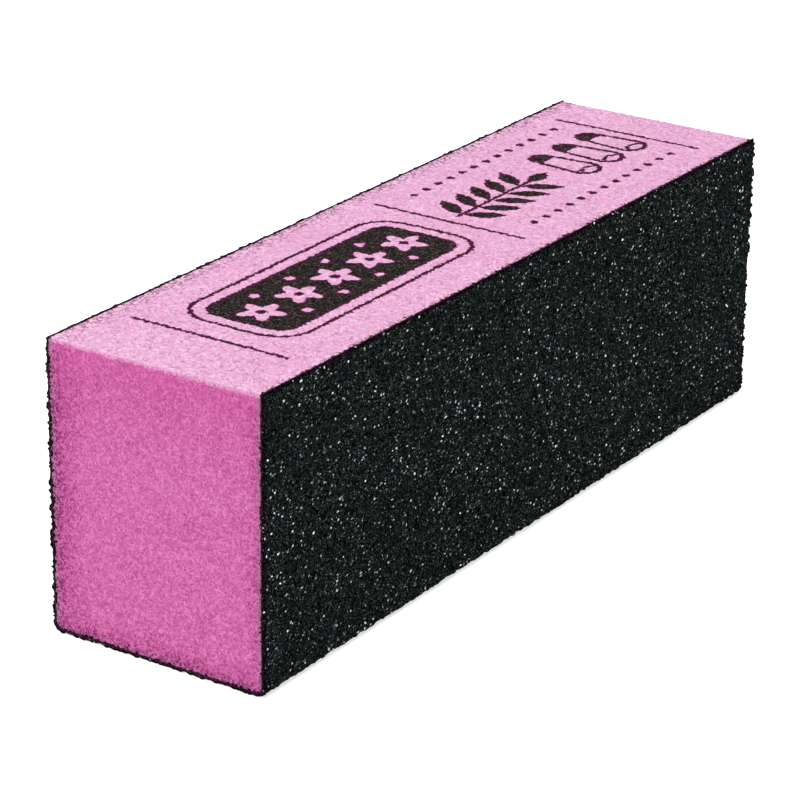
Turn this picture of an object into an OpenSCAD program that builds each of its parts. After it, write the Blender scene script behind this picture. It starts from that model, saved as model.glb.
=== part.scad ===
// Nail buffer block: a foam bar coated with black abrasive grit on its two long sides and
// its underside. The top is a bare, paler skin, and the two ends are cut foam.
// The origin is the centre of the underside. X runs across, Y along the length, Z up.

/* [Foam bar] */
// Length of the block
block_l = 95; // [40:1:160]
// Width of the foam between the two side coats
foam_w = 25; // [15:0.5:60]
// Height of the foam from the bottom coat to the top face
foam_h = 30.7; // [15:0.1:60]
// Radius of the foam's two lower long edges, under the coat
foam_edge_r = 0.6; // [0.2:0.1:4]

/* [Top skin] */
// Thickness of the paler closed skin on the top face
skin_t = 0.25; // [0.1:0.05:1]
// Rounding of the skin where it meets the cut ends
skin_end_r = 0.2; // [0.05:0.05:0.8]

/* [Abrasive wrap] */
// Thickness of the black resin that bonds the grit to the foam
bond_t = 0.15; // [0.05:0.05:0.5]
// Thickness of the layer of grit
grit_t = 0.35; // [0.1:0.05:1]
// Rounding of the grit along the top of each side
grit_brow_r = 0.2; // [0.05:0.05:0.8]

/* [Hidden] */
$fn = 96;

// The three layers turn the lower corners round one shared centre line.
wrap_t = bond_t + grit_t;
block_h = foam_h + wrap_t;
corner_x = foam_w / 2 - foam_edge_r;
corner_z = wrap_t + foam_edge_r;
bond_edge_r = foam_edge_r + bond_t;
grit_edge_r = foam_edge_r + wrap_t;

// Sides of the block, as signs of X.
LEFT = -1;
RIGHT = 1;

// Roundings stay inside the layer that they are cut from.
brow_r = min(grit_brow_r, 0.9 * grit_t);
end_r = min(skin_end_r, 0.9 * skin_t);
past = 1; // how far a cutter reaches past what it cuts

// A bar along the block's whole length, from an outline drawn in X and Z.
module full_length() {
    rotate([90, 0, 0])
        linear_extrude(height = block_l, center = true)
            children();
}

// Outline of the bar at one layer: upright sides, a flat floor and lower corners of
// radius r about the shared corner centres, up to the height top.
module tub_outline(r, top) {
    translate([-corner_x - r, corner_z])
        square([2 * (corner_x + r), top - corner_z]);
    translate([-corner_x, corner_z - r])
        square([2 * corner_x, r]);
    for (side = [LEFT, RIGHT])
        translate([side * corner_x, corner_z])
            circle(r);
}

// The part of the wrap under the corner centres, between an inner and an outer radius:
// a flat sheet whose two edges turn up round the lower corners.
module shoe_outline(inner_r, outer_r) {
    difference() {
        tub_outline(outer_r, corner_z + outer_r);
        tub_outline(inner_r, corner_z + outer_r + past);
        translate([-corner_x - outer_r - past, corner_z])
            square([2 * (corner_x + outer_r + past), outer_r + past]);
    }
}

// The part of the wrap that stands on one side, from the corner centre to the top face.
module wall_outline(inner_r, outer_r) {
    translate([corner_x + inner_r, corner_z])
        square([outer_r - inner_r, block_h - corner_z]);
}

// The corner left over when an upper right edge at the origin is rounded to radius r.
module edge_waste(r) {
    difference() {
        translate([-r, -r])
            square(r + past);
        translate([-r, -r])
            circle(r);
    }
}

// Puts a piece drawn for the right side on either side.
module on_side(side) {
    if (side == LEFT)
        mirror([1, 0, 0]) children();
    else
        children();
}

// The block of cut foam that everything else is bonded to.
module foam_core() {
    color([0.83, 0.43, 0.67])
        full_length()
            tub_outline(foam_edge_r, block_h - skin_t);
}

// The closed skin of the foam, between the two side coats, eased at the cut ends.
module top_skin() {
    color([0.94, 0.71, 0.85])
        difference() {
            translate([-foam_w / 2, -block_l / 2, block_h - skin_t])
                cube([foam_w, block_l, skin_t]);
            for (end = [0, 180])
                rotate([0, 0, end])
                    translate([0, block_l / 2, block_h])
                        rotate([90, 0, 90])
                            linear_extrude(height = foam_w + 2 * past, center = true)
                                edge_waste(end_r);
        }
}

// One side's coat of resin.
module side_bond_coat(side) {
    color([0.16, 0.08, 0.14])
        on_side(side)
            full_length()
                wall_outline(foam_edge_r, bond_edge_r);
}

// One side's layer of grit, with its upper outer edge rounded.
module side_grit(side) {
    color([0.13, 0.14, 0.14])
        on_side(side)
            full_length()
                difference() {
                    wall_outline(bond_edge_r, grit_edge_r);
                    translate([corner_x + grit_edge_r, block_h])
                        edge_waste(brow_r);
                }
}

module left_bond_coat() { side_bond_coat(LEFT); }

module right_bond_coat() { side_bond_coat(RIGHT); }

// The resin under the foam, turned up round both lower corners.
module bottom_bond_coat() {
    color([0.16, 0.08, 0.14])
        full_length()
            shoe_outline(foam_edge_r, bond_edge_r);
}

module left_grit() { side_grit(LEFT); }

module right_grit() { side_grit(RIGHT); }

// The grit that the block stands on, turned up round both lower corners.
module bottom_grit() {
    color([0.13, 0.14, 0.14])
        full_length()
            shoe_outline(bond_edge_r, grit_edge_r);
}

foam_core();
top_skin();
left_bond_coat();
right_bond_coat();
bottom_bond_coat();
left_grit();
right_grit();
bottom_grit();
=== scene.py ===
"""Looks of a nail buffer block: a bar of cut pink foam with a printed skin and a wrap of black grit.

Everything is in metres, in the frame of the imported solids: X runs across the block, Y along it
and Z up from the face that it lies on. Each layer is a piece of its own, built from the boxes of
the solids, and its surface is worked in relief: grains, cut cells or pebbles.
"""

import logging
import math
from abc import ABC, abstractmethod
from collections.abc import Callable
from dataclasses import dataclass, field
from enum import Enum
from functools import cached_property

import bmesh
import bpy
from bmesh.types import BMesh, BMEdge, BMVert
from bpy.types import Material, Node, NodeSocket, NodeTree, Object
from mathutils import Matrix, Vector, noise


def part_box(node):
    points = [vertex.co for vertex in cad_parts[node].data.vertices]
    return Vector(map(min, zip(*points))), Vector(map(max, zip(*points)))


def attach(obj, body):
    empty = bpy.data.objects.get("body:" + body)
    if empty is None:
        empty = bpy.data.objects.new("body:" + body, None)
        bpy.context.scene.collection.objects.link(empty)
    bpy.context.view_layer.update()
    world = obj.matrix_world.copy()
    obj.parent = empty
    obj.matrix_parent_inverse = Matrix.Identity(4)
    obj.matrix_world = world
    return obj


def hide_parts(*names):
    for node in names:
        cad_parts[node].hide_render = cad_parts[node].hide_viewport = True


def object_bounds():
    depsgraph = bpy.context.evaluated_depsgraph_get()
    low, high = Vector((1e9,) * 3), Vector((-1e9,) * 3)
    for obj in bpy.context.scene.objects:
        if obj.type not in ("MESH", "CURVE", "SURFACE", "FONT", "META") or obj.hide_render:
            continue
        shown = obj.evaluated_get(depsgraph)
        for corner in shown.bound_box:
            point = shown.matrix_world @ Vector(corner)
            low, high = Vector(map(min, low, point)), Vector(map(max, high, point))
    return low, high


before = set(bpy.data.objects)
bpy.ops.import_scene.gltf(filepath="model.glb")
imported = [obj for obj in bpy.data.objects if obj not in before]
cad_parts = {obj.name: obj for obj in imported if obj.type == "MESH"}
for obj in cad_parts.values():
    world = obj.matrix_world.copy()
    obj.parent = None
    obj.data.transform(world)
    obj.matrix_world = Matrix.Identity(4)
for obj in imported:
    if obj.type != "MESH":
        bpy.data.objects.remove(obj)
CAD_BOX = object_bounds()

MM = 0.001
BODY = "root"

# Names of what a mesh keeps: the map of its finish, each vertex's spot on its sheet, and how deep
# each grain lies.
FINISH_MAP = "OFBake"
SPOT = "spot"
DEPTH = "depth"

# Width of the print's thin lines in millimetres.
PEN = 0.54

# Vector noise takes its seed from the clock unless it is given one.
NOISE_SEED = 1

# Added to the spot of a vertex on the hidden back of a sheet.
BEHIND = Vector((0, 0, 1))

# A vertex nearer to an edge than this lies on it.
ON_EDGE = 1e-6

log = logging.getLogger("buffer_block")

Colour = tuple[float, float, float]
FlatPoint = tuple[float, float]
Value = NodeSocket | float
Tint = NodeSocket | Colour


class Side(Enum):
    """The two upright sides of the block, as signs of X."""

    LEFT = -1
    RIGHT = 1

    def node(self, layer: str) -> str:
        """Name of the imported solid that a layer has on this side."""
        return f"{self.name.lower()}_{layer}"


class Slot(Enum):
    """The record's material slots."""

    FOAM = "foam_pink"
    SKIN = "skin_pink"
    BOND = "bond_black"
    GRIT = "grit_black"


class Measure(Enum):
    """What a pattern of cells measures: how far each point lies from a middle, or from a wall."""

    FROM_MIDDLE = "F1"
    FROM_WALL = "DISTANCE_TO_EDGE"


class Blend(Enum):
    """How one colour goes over another: in its place, or dimming it."""

    COVER = "MIX"
    DIM = "MULTIPLY"


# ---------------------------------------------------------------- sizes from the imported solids


@dataclass(frozen=True)
class Span:
    """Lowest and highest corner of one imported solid."""

    low: Vector
    high: Vector

    @classmethod
    def of(cls, node: str) -> "Span":
        """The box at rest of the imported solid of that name."""
        low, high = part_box(node)
        return cls(low, high)

    @property
    def centre(self) -> Vector:
        """Middle of the box."""
        return (self.low + self.high) / 2

    @property
    def size(self) -> Vector:
        """Edge lengths of the box."""
        return self.high - self.low


@dataclass(frozen=True)
class Wrap:
    """The round-cornered outline that the foam, resin and grit share below their top face.

    Args:
        corner_x: distance of a lower corner's centre from the middle.
        corner_z: height of that centre, where the upright walls begin.
    """

    corner_x: float
    corner_z: float

    @classmethod
    def from_solids(cls) -> "Wrap":
        """Reads the shared corner centres off the grit and the foam.

        Returns:
            The outline that every layer of the wrap follows.
        """
        foam = Span.of("foam_core")
        shoe = Span.of("bottom_grit")
        radius = shoe.high.z - foam.low.z
        return cls(foam.high.x - radius, shoe.high.z)

    def rounded(self, point: Vector) -> Vector:
        """Moves a point of a square-cornered section into the round-cornered one.

        Args:
            point: a point of the section.

        Returns:
            The point, pulled in if it lay in a lower corner's square.
        """
        x = abs(point.x) - self.corner_x
        z = self.corner_z - point.z
        if x <= 0 or z <= 0:
            return point
        pull = max(x, z) / math.hypot(x, z)
        turned = math.copysign(self.corner_x + x * pull, point.x)
        return Vector((turned, point.y, self.corner_z - z * pull))

    def half_run(self, radius: float) -> float:
        """Half the width, laid flat, of a sheet that turns up at the corners with a radius."""
        return self.corner_x + radius * math.pi / 2

    def nearest_centre(self, x: float) -> float:
        """The place across the block that a point's direction is turned about."""
        return max(-self.corner_x, min(self.corner_x, x))

    def turned_up(self, flat: Vector, radius: float) -> tuple[Vector, Vector]:
        """Turns a flat sheet under the block up round both lower corners.

        Args:
            flat: a point of the flat sheet, from its middle.
            radius: radius of the sheet at the corners.

        Returns:
            The point of the turned sheet and its outward direction.
        """
        turn = max(0.0, abs(flat.x) - self.corner_x) / radius
        way = math.copysign(1.0, flat.x)
        out = Vector((way * math.sin(turn), 0, -math.cos(turn)))
        centre = Vector((self.nearest_centre(flat.x), 0, self.corner_z))
        point = centre + out * radius
        point.y = flat.y
        return point, out

    def drawn_in(self, point: Vector, radius: float) -> Vector:
        """Draws a point of a turned-up sheet square in to a tighter one.

        Args:
            point: a point of the outer sheet.
            radius: radius of the inner sheet at the corners.

        Returns:
            The point of the inner sheet.
        """
        centre = self.nearest_centre(point.x)
        arm = Vector((point.x - centre, 0, point.z - self.corner_z)).normalized() * radius
        return Vector((centre + arm.x, point.y, self.corner_z + arm.z))


# ---------------------------------------------------------------- reliefs


def hill(place: Vector) -> float:
    """Smooth unevenness from 0 to 1, whose hills are about 1 apart."""
    return 0.5 + 0.5 * noise.noise(place)


def inside_cell(place: Vector, steepness: float) -> float:
    """How far a place lies inside cells that are about 1 apart.

    Args:
        place: the place.
        steepness: how soon a cell is level, from its walls inwards.

    Returns:
        0 on a wall and 1 well inside.
    """
    near, _ = noise.voronoi(place)
    return min(1.0, (near[1] - near[0]) * steepness)


@dataclass(frozen=True)
class Relief(ABC):
    """How far a worked surface lies below its highest level.

    Args:
        waver: slow unevenness of the whole surface.
        waver_length: distance over which it comes and goes.
    """

    waver: float
    waver_length: float

    @abstractmethod
    def at(self, point: Vector) -> float:
        """Depth in metres at a point of the smooth surface, never negative."""

    def slow(self, point: Vector) -> float:
        """The slow part of the depth at a point."""
        return self.waver * hill(point / self.waver_length)


@dataclass(frozen=True)
class GrainRelief(Relief):
    """Lumps of resin and grain that follow the cells of the foam beneath them.

    Args:
        waver: slow unevenness of the whole coat.
        waver_length: distance over which it comes and goes.
        lump: distance between lumps.
        lowest: height of the lowest lumps, as a share of the highest.
        steepness: how steeply a lump falls away from its top.
        depth: how far the hollows between the lumps lie below the tops.
        grain: distance between single grains.
        grain_depth: how far those stand out.
        worn: how much of the highest tops is rubbed off level.
        shuffle: spreads the lumps' places so that each draws a height of its own.
    """

    waver: float = 0.06 * MM
    waver_length: float = 4.5 * MM
    lump: float = 0.58 * MM
    lowest: float = 0.65
    steepness: float = 1.35
    depth: float = 0.30 * MM
    grain: float = 0.30 * MM
    grain_depth: float = 0.13 * MM
    worn: float = 0.18 * MM
    shuffle: float = 7.3

    def at(self, point: Vector) -> float:
        """How far the surface lies below its highest level at a point.

        Args:
            point: a point of the smooth surface.

        Returns:
            Depth in metres, never negative.
        """
        near, middles = noise.voronoi(point / self.lump)
        height = self.lowest + (1 - self.lowest) * noise.cell(middles[0] * self.shuffle)
        hollow = 1 - height * max(0.0, 1 - (near[0] * self.steepness) ** 2)
        raw = self.depth * hollow + self.grain_depth * hill(point / self.grain) + self.slow(point)
        return max(0.0, raw - self.worn)

    @property
    def most(self) -> float:
        """Greatest depth that the relief can have."""
        return self.depth + self.grain_depth + self.waver - self.worn


@dataclass(frozen=True)
class CutRelief(Relief):
    """Open cells of foam that a blade has cut through.

    Args:
        waver: slow unevenness of the cut.
        waver_length: distance over which it comes and goes.
        cell: distance between cells.
        depth: how deep the cut cells are.
        steepness: how soon a cell is at its depth, from its walls inwards.
        drift: how far cells stray from their places, as a share of a cell.
        drift_length: distance over which they stray another way, in cells.
        fibre: distance between the torn walls.
        fibre_depth: how far those stand out.
        eased: how far the cut is rounded under the skin.
        eased_reach: how far down the rounding goes, as a multiple of that.
    """

    waver: float = 0.08 * MM
    waver_length: float = 7 * MM
    cell: float = 0.5 * MM
    depth: float = 0.07 * MM
    steepness: float = 2.2
    drift: float = 0.4
    drift_length: float = 2.2
    fibre: float = 0.3 * MM
    fibre_depth: float = 0.06 * MM
    eased: float = 0.12 * MM
    eased_reach: float = 4.0

    def at(self, point: Vector) -> float:
        """How far the surface lies below its highest level at a point.

        Args:
            point: a point of the flat cut.

        Returns:
            Depth in metres, never negative.
        """
        drift = noise.noise_vector(point / (self.drift_length * self.cell)) * self.drift
        sunk = self.depth * inside_cell(point / self.cell + drift, self.steepness)
        torn = self.fibre_depth * hill(point / self.fibre + drift)
        return sunk + torn + self.slow(point)

    def end_at(self, point: Vector, top: float) -> float:
        """How far a cut end lies inside the bar's square end at a point.

        Args:
            point: a point of the end.
            top: height at which the skin begins.

        Returns:
            Depth in metres, never negative.
        """
        under_skin = max(0.0, 1 - (top - point.z) / (self.eased_reach * self.eased))
        return self.at(point) + self.eased * under_skin**2


@dataclass(frozen=True)
class PebbleRelief(Relief):
    """The closed skin over the foam's cells: low pebbles with creases between them.

    Args:
        waver: slow unevenness of the skin.
        waver_length: distance over which it comes and goes.
        pebble: distance between pebbles.
        depth: depth of the creases.
        steepness: how soon a pebble is level, from its creases inwards.
        drift: how far pebbles stray from their places, as a share of a pebble.
        drift_length: distance over which they stray another way, in pebbles.
        soft: share of the depth that is soft unevenness and not creases.
        soft_length: distance between its hills, in pebbles.
    """

    waver: float = 0.03 * MM
    waver_length: float = 6 * MM
    pebble: float = 0.85 * MM
    depth: float = 0.10 * MM
    steepness: float = 1.8
    drift: float = 0.5
    drift_length: float = 3.0
    soft: float = 0.4
    soft_length: float = 0.45

    def at(self, point: Vector) -> float:
        """How far the surface lies below its highest level at a point.

        Args:
            point: a point of the flat face.

        Returns:
            Depth in metres, never negative.
        """
        drift = noise.noise_vector(point / (self.drift_length * self.pebble)) * self.drift
        crease = 1 - inside_cell(point / self.pebble + drift, self.steepness)
        soft = hill(point / (self.soft_length * self.pebble))
        return self.depth * ((1 - self.soft) * crease + self.soft * soft) + self.slow(point)


def corner_pull(first: float, second: float, radius: float) -> tuple[float, float]:
    """How far a corner's rounding draws a point in from the two edges that meet there.

    Args:
        first: distance of the point from one edge.
        second: distance from the other.
        radius: radius of the rounding.

    Returns:
        The two distances that it is drawn in by.
    """
    into = (radius - first, radius - second)
    if min(into) <= 0:
        return 0.0, 0.0
    pull = 1 - max(into) / math.hypot(*into)
    return into[0] * pull, into[1] * pull


def ragged(point: Vector, most: float, length: float = 0.55 * MM, sharpness: float = 0.6) -> float:
    """How far a cut edge falls short of its line at a point.

    Args:
        point: a point of the edge.
        most: the most that it falls short.
        length: distance between its nicks.
        sharpness: how steeply it goes in and out.

    Returns:
        A distance from 0 to most.
    """
    slower, slower_share = 3 * length, 0.4
    swing = noise.noise(point / length) + slower_share * noise.noise(point / slower)
    return most * min(1.0, max(0.0, 0.5 + sharpness * swing))


# ---------------------------------------------------------------- mesh helpers


def mapped_mesh() -> BMesh:
    """Starts a mesh that keeps each vertex's spot on its sheet and has a map for its finish.

    Returns:
        The empty mesh.
    """
    bm = bmesh.new()
    bm.verts.layers.float_vector.new(SPOT)
    bm.loops.layers.uv.new(FINISH_MAP)
    return bm


def sheet_grid(
    bm: BMesh, centre: Vector, along: Vector, up: Vector, cells: tuple[int, int]
) -> list[BMVert]:
    """Lays a flat grid of square cells, whose spots run from 0 to 1 in both directions.

    Args:
        bm: mesh that receives it.
        centre: middle of the grid.
        along: vector from the middle to the end of its first direction.
        up: vector from the middle to the end of its second direction.
        cells: number of cells in the two directions.

    Returns:
        The grid's vertices.
    """
    out = along.cross(up).normalized()
    axes = Matrix((along, up, out)).transposed().to_4x4()
    place = Matrix.Translation(centre) @ axes
    made = bmesh.ops.create_grid(bm, x_segments=cells[0], y_segments=cells[1], size=1.0)
    spot = bm.verts.layers.float_vector.get(SPOT)
    for vert in made["verts"]:
        if spot is not None:
            vert[spot] = Vector((vert.co.x + 1, vert.co.y + 1, 0)) / 2
        vert.co = place @ vert.co
    bm.normal_update()
    return made["verts"]


def back_with(bm: BMesh, set_back: Callable[[BMVert], None]) -> None:
    """Turns an open sheet into a closed solid: its rim is drawn back and closed with long strips.

    Args:
        bm: mesh that holds only the sheet.
        set_back: moves a rim vertex to its place on the hidden face.
    """
    spot = bm.verts.layers.float_vector[SPOT]
    rim = [edge for edge in bm.edges if edge.is_boundary]
    drawn = bmesh.ops.extrude_edge_only(bm, edges=rim)["geom"]
    for item in drawn:
        if isinstance(item, BMVert):
            set_back(item)
            item[spot] = item[spot] + BEHIND
    loop = [item for item in drawn if isinstance(item, BMEdge) and item.is_boundary]
    ends = [edge for edge in loop if all(0 < vert[spot].y < 1 for vert in edge.verts)]
    bmesh.ops.bridge_loops(bm, edges=ends)
    bmesh.ops.holes_fill(bm, edges=[edge for edge in bm.edges if edge.is_boundary], sides=0)
    bmesh.ops.recalc_face_normals(bm, faces=bm.faces)


@dataclass(frozen=True)
class Strips:
    """The map of a long sheet: its two halves one above the other, and its back in a thin band.

    Args:
        margin: room round each half for the sheet's rim, as a share of the map.
        rim: how much of that room the rim takes up.
        band: height of the band that the hidden back lies in.
        band_edges: how far from the map's edge the back's two long edges lie, in bands.
    """

    margin: float = 0.012
    rim: float = 0.9
    band: float = 0.03
    band_edges: tuple[float, float] = (0.9, 0.1)

    def lay_out(self, bm: BMesh) -> None:
        """Gives every face of a finished sheet its place on the map.

        Args:
            bm: the sheet's mesh.
        """
        spot, on_map = bm.verts.layers.float_vector[SPOT], bm.loops.layers.uv[FINISH_MAP]
        for face in bm.faces:
            places = self.places([vert[spot].copy() for vert in face.verts])
            for loop, place in zip(face.loops, places):
                loop[on_map].uv = place

    def places(self, spots: list[Vector]) -> list[Vector]:
        """The corners of one face on the map.

        Args:
            spots: the face's corners on the sheet, with 1 for Z on its back.

        Returns:
            Their places on the map, from 0 to 1.
        """
        if all(spot.z for spot in spots):
            far, near = self.band_edges
            return [Vector((spot.x, 1 - self.band * (far - (far - near) * spot.y))) for spot in spots]
        half = int(sum(spot.x for spot in spots) > len(spots) / 2)
        height = (1 - self.band) / 2
        centre = Vector((0.5, (half + 0.5) * height))
        reach = Vector((1 - 2 * self.margin, height - 2 * self.margin))
        at_end = all(spot.x == spots[0].x for spot in spots)
        placed = []
        for spot in spots:
            place = Vector((2 * spot.x - half, spot.y)) - Vector((0.5, 0.5))
            out = Vector((place.x, 0)) if at_end else Vector((0, place.y))
            placed.append(centre + place * reach + out * spot.z * 2 * self.rim * self.margin)
        return placed


def finished_piece(name: str, bm: BMesh, material: Material, crease_deg: float) -> Object:
    """Makes an object at the origin from a mesh, smooth except at sharp edges.

    Args:
        name: name of the piece.
        bm: its mesh, which is freed.
        material: its finish.
        crease_deg: edges that turn by more than this stay sharp.

    Returns:
        The object, in the scene.
    """
    limit = math.radians(crease_deg)
    for face in bm.faces:
        face.smooth = True
    for edge in bm.edges:
        edge.smooth = len(edge.link_faces) == 2 and edge.calc_face_angle(0.0) < limit
    mesh = bpy.data.meshes.new(name)
    bm.to_mesh(mesh)
    bm.free()
    mesh.materials.append(material)
    piece = bpy.data.objects.new(name, mesh)
    bpy.context.scene.collection.objects.link(piece)
    return piece


# ---------------------------------------------------------------- node sheets


class NodeSheet:
    """A tree of nodes being drawn up, with patterns in the block's own coordinates."""

    # The Mix node has sockets for numbers and vectors before those for colours.
    MIX_SHARE, MIX_LOW, MIX_HIGH, MIX_RESULT = 0, 6, 7, 2

    def __init__(self, tree: NodeTree) -> None:
        """Starts on an emptied tree."""
        self.tree = tree
        self.tree.nodes.clear()

    @cached_property
    def place(self) -> NodeSocket:
        """The block's own coordinates."""
        return self.add("ShaderNodeTexCoord").outputs["Object"]

    def add(self, kind: str, **settings: object) -> Node:
        """Adds a node.

        Args:
            kind: Blender's name of the node.
            settings: its properties.

        Returns:
            The node.
        """
        node = self.tree.nodes.new(kind)
        for name, value in settings.items():
            setattr(node, name, value)
        return node

    def feed(self, socket: NodeSocket, value: object) -> None:
        """Links a socket to another, or sets its value.

        Args:
            socket: the input.
            value: an output socket, a number, a vector or a colour.
        """
        if isinstance(value, NodeSocket):
            self.tree.links.new(value, socket)
        elif socket.type == "RGBA":
            socket.default_value = (*value, 1.0)
        else:
            socket.default_value = value

    def math(self, operation: str, *values: Value) -> NodeSocket:
        """A Math node.

        Args:
            operation: what it does.
            values: sockets or numbers.

        Returns:
            The result.
        """
        node = self.add("ShaderNodeMath", operation=operation)
        for socket, value in zip(node.inputs, values):
            self.feed(socket, value)
        return node.outputs[0]

    def plus(self, value: Value, other: Value) -> NodeSocket:
        """The sum of two values."""
        return self.math("ADD", value, other)

    def less(self, value: Value, taken: Value) -> NodeSocket:
        """A value less another."""
        return self.math("SUBTRACT", value, taken)

    def times(self, value: Value, by: Value) -> NodeSocket:
        """A value times another."""
        return self.math("MULTIPLY", value, by)

    def most(self, value: Value, other: Value) -> NodeSocket:
        """The greater of two values."""
        return self.math("MAXIMUM", value, other)

    def least(self, value: Value, other: Value) -> NodeSocket:
        """The smaller of two values."""
        return self.math("MINIMUM", value, other)

    def size_of(self, value: Value) -> NodeSocket:
        """A value without its sign."""
        return self.math("ABSOLUTE", value)

    def swing(self, level: Value) -> NodeSocket:
        """A level from 0 to 1, moved to swing about 0."""
        return self.less(level, 0.5)

    def sum_of(self, *terms: tuple[Value, float]) -> NodeSocket:
        """A weighted sum.

        Args:
            terms: pairs of a value and its weight.

        Returns:
            The sum.
        """
        total = None
        for value, weight in terms:
            part = self.times(value, weight)
            total = part if total is None else self.plus(total, part)
        return total

    def step(
        self, value: Value, start: float, end: float, low: float = 0.0, high: float = 1.0
    ) -> NodeSocket:
        """A smooth rise or fall of a value between two of its levels.

        Args:
            value: what is read.
            start: level at which the result is low.
            end: level at which the result is high.
            low: result at start and before it.
            high: result at end and after it.

        Returns:
            The result.
        """
        node = self.add("ShaderNodeMapRange", interpolation_type="SMOOTHSTEP")
        levels = (value, start, end, low, high)
        if start > end:
            levels = (value, end, start, high, low)
        for socket, level in zip(node.inputs, levels):
            self.feed(socket, level)
        return node.outputs[0]

    def vector(self, operation: str, *values: object) -> NodeSocket:
        """A Vector Math node.

        Args:
            operation: what it does.
            values: sockets or vectors.

        Returns:
            Its number for lengths and dot products, and its vector otherwise.
        """
        node = self.add("ShaderNodeVectorMath", operation=operation)
        for socket, value in zip(node.inputs, values):
            self.feed(socket, value)
        is_number = operation in ("DOT_PRODUCT", "DISTANCE")
        return node.outputs["Value" if is_number else "Vector"]

    def scaled(self, vector: object, by: Value) -> NodeSocket:
        """A vector times a number.

        Args:
            vector: the vector.
            by: the number.

        Returns:
            The longer or shorter vector.
        """
        node = self.add("ShaderNodeVectorMath", operation="SCALE")
        self.feed(node.inputs[0], vector)
        self.feed(node.inputs["Scale"], by)
        return node.outputs["Vector"]

    def axes(self, vector: NodeSocket) -> tuple[NodeSocket, NodeSocket, NodeSocket]:
        """The three numbers of a vector.

        Args:
            vector: the vector.

        Returns:
            Its X, Y and Z.
        """
        node = self.add("ShaderNodeSeparateXYZ")
        self.feed(node.inputs[0], vector)
        return node.outputs["X"], node.outputs["Y"], node.outputs["Z"]

    def attribute(self, name: str) -> NodeSocket:
        """A number that the mesh keeps for each of its vertices."""
        return self.add("ShaderNodeAttribute", attribute_name=name).outputs["Fac"]

    def noise(
        self,
        length: float,
        detail: float = 2.0,
        roughness: float = 0.5,
        where: NodeSocket | None = None,
        distortion: float = 0.0,
        output: str = "Fac",
    ) -> NodeSocket:
        """A noise pattern.

        Args:
            length: distance between its hills.
            detail: octaves of finer noise on it.
            roughness: strength of each finer octave.
            where: coordinates, or the block's own.
            distortion: how far it swirls.
            output: Fac for one number or Color for three, each from 0 to 1.

        Returns:
            The pattern.
        """
        node = self.add("ShaderNodeTexNoise")
        self.feed(node.inputs["Vector"], where or self.place)
        self.feed(node.inputs["Scale"], 1 / length)
        self.feed(node.inputs["Detail"], detail)
        self.feed(node.inputs["Roughness"], roughness)
        self.feed(node.inputs["Distortion"], distortion)
        return node.outputs[output]

    def strands(self, length: float, width: float, where: NodeSocket, swirl: float) -> NodeSocket:
        """Winding strands, like the torn walls of small cells.

        Args:
            length: distance between strands.
            width: width of a strand, as a share of the noise's range.
            where: coordinates.
            swirl: how far they curl.

        Returns:
            1 on a strand and 0 between.
        """
        level = self.noise(length, 1.0, where=where, distortion=swirl)
        return self.step(self.size_of(self.swing(level)), width, 0.0)

    def cells(self, length: float, where: NodeSocket, measure: Measure) -> Node:
        """A pattern of cells.

        Args:
            length: size of a cell.
            where: coordinates.
            measure: what its distances are taken from.

        Returns:
            The Voronoi node, whose distances are in cells.
        """
        node = self.add("ShaderNodeTexVoronoi", voronoi_dimensions="3D", feature=measure.value)
        self.feed(node.inputs["Vector"], where)
        self.feed(node.inputs["Scale"], 1 / length)
        return node

    def warped(self, length: float, reach: float) -> NodeSocket:
        """The block's coordinates, drifting about.

        Args:
            length: distance over which the drift turns.
            reach: how far it carries a point.

        Returns:
            The coordinates.
        """
        drift = self.vector("SUBTRACT", self.noise(length, 1.0, output="Color"), (0.5, 0.5, 0.5))
        return self.vector("ADD", self.place, self.scaled(drift, 2 * reach))

    def slanted(self, where: NodeSocket, angle_deg: float, stretch: float) -> NodeSocket:
        """Coordinates drawn out along one slanting direction of the upright sides.

        Args:
            where: coordinates.
            angle_deg: the direction, rising from the block's length.
            stretch: how much longer the pattern becomes.

        Returns:
            The coordinates.
        """
        node = self.add("ShaderNodeMapping", vector_type="TEXTURE")
        self.feed(node.inputs["Vector"], where)
        self.feed(node.inputs["Rotation"], (math.radians(angle_deg), 0.0, 0.0))
        self.feed(node.inputs["Scale"], (1.0, stretch, 1.0))
        return node.outputs["Vector"]

    def mix(self, share: Value, low: Tint, high: Tint, blend: Blend = Blend.COVER) -> NodeSocket:
        """A colour between two others.

        Args:
            share: 0 for the first, 1 for the second.
            low: the first colour.
            high: the second colour.
            blend: how the second goes over the first.

        Returns:
            The colour.
        """
        node = self.add("ShaderNodeMix", data_type="RGBA", blend_type=blend.value, clamp_factor=True)
        self.feed(node.inputs[self.MIX_SHARE], share)
        self.feed(node.inputs[self.MIX_LOW], low)
        self.feed(node.inputs[self.MIX_HIGH], high)
        return node.outputs[self.MIX_RESULT]

    def bump(self, height: Value, distance: float) -> NodeSocket:
        """A normal bent by a height.

        Args:
            height: the height.
            distance: how far a height of 1 stands out.

        Returns:
            The bent normal.
        """
        node = self.add("ShaderNodeBump")
        self.feed(node.inputs["Height"], height)
        self.feed(node.inputs["Distance"], distance)
        return node.outputs["Normal"]

    def seen(self) -> NodeSocket:
        """Tells what the camera sees, by itself, in a gloss or through glass, from light.

        Returns:
            1 for the camera and 0 for light.
        """
        rays = self.add("ShaderNodeLightPath").outputs
        mirrored = self.most(rays["Is Camera Ray"], rays["Is Glossy Ray"])
        return self.most(mirrored, rays["Is Transmission Ray"])


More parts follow.
